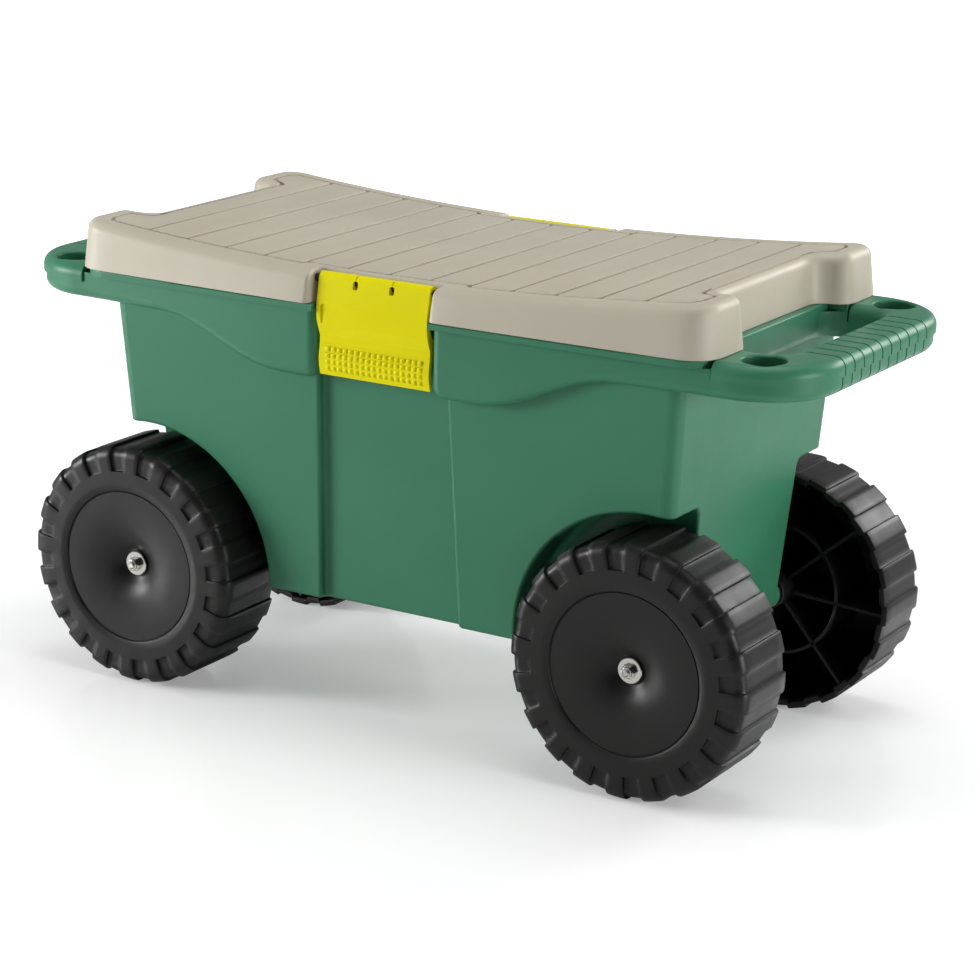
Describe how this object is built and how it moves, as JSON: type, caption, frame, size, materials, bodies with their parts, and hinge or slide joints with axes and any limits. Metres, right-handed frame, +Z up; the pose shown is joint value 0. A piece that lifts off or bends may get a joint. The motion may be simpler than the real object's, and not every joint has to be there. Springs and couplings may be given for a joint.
{
  "type": "rolling garden tool cart with seat lid",
  "caption": "Rolling garden tool cart: green moulded tub on broad black wheels, end handles with tool holes, and a dished beige seat lid held by yellow latches.",
  "frame": {"origin": "on the ground, under the centre of the cart", "axes": "+X along the cart to the right end, +Y across it to the rear latch, +Z up; the front latch is on the -Y side"},
  "size_m": [0.565, 0.247, 0.2998],
  "materials": {
    "tub_green": "satin polypropylene with a fine moulded grain",
    "lid_beige": "satin polypropylene with a fine pebbled grain",
    "latch_yellow": "semi-gloss acetal",
    "wheel_black": "satin black polyethylene",
    "nickel_steel": "bright nickel plate",
    "axle_steel": "drawn and plated rod",
    "pin_dark_steel": "blackened"
  },
  "bodies": {
    "cart": {"tub": "tub_green", "handle_cover_left": "tub_green", "handle_cover_right": "tub_green", "axle_left": "axle_steel", "axle_right": "axle_steel", "inner_washer_front_left": "nickel_steel", "outer_washer_front_left": "nickel_steel", "lock_nut_front_left": "nickel_steel", "inner_washer_front_right": "nickel_steel", "outer_washer_front_right": "nickel_steel", "lock_nut_front_right": "nickel_steel", "inner_washer_rear_left": "nickel_steel", "outer_washer_rear_left": "nickel_steel", "lock_nut_rear_left": "nickel_steel", "inner_washer_rear_right": "nickel_steel", "outer_washer_rear_right": "nickel_steel", "lock_nut_rear_right": "nickel_steel"},
    "lid": {"lid": "lid_beige", "front_latch_pin": "pin_dark_steel", "rear_latch_pin": "pin_dark_steel"},
    "front_latch": {"front_latch": "latch_yellow"},
    "rear_latch": {"rear_latch": "latch_yellow"},
    "wheel_front_left": {"wheel_front_left": "wheel_black"},
    "wheel_front_right": {"wheel_front_right": "wheel_black"},
    "wheel_rear_left": {"wheel_rear_left": "wheel_black"},
    "wheel_rear_right": {"wheel_rear_right": "wheel_black"}
  },
  "joints": [
    {"name": "wheel_front_left_spin", "type": "hinge", "parent": "cart", "child": "wheel_front_left", "pos_m": [-0.182, 0, 0.079], "axis": [0, 1, 0], "continuous": true},
    {"name": "wheel_front_right_spin", "type": "hinge", "parent": "cart", "child": "wheel_front_right", "pos_m": [0.182, 0, 0.079], "axis": [0, 1, 0], "continuous": true},
    {"name": "wheel_rear_left_spin", "type": "hinge", "parent": "cart", "child": "wheel_rear_left", "pos_m": [-0.182, 0, 0.079], "axis": [0, 1, 0], "continuous": true},
    {"name": "wheel_rear_right_spin", "type": "hinge", "parent": "cart", "child": "wheel_rear_right", "pos_m": [0.182, 0, 0.079], "axis": [0, 1, 0], "continuous": true},
    {"name": "lid_lift", "type": "slide", "parent": "cart", "child": "lid", "axis": [0, 0, 1], "range_m": [0, 0.15]},
    {"name": "front_latch_swing", "type": "hinge", "parent": "lid", "child": "front_latch", "pos_m": [0, -0.1078, 0.2832], "axis": [-1, 0, 0], "range_deg": [0, 110]},
    {"name": "rear_latch_swing", "type": "hinge", "parent": "lid", "child": "rear_latch", "pos_m": [0, 0.1078, 0.2832], "axis": [1, 0, 0], "range_deg": [0, 110]}
  ]
}
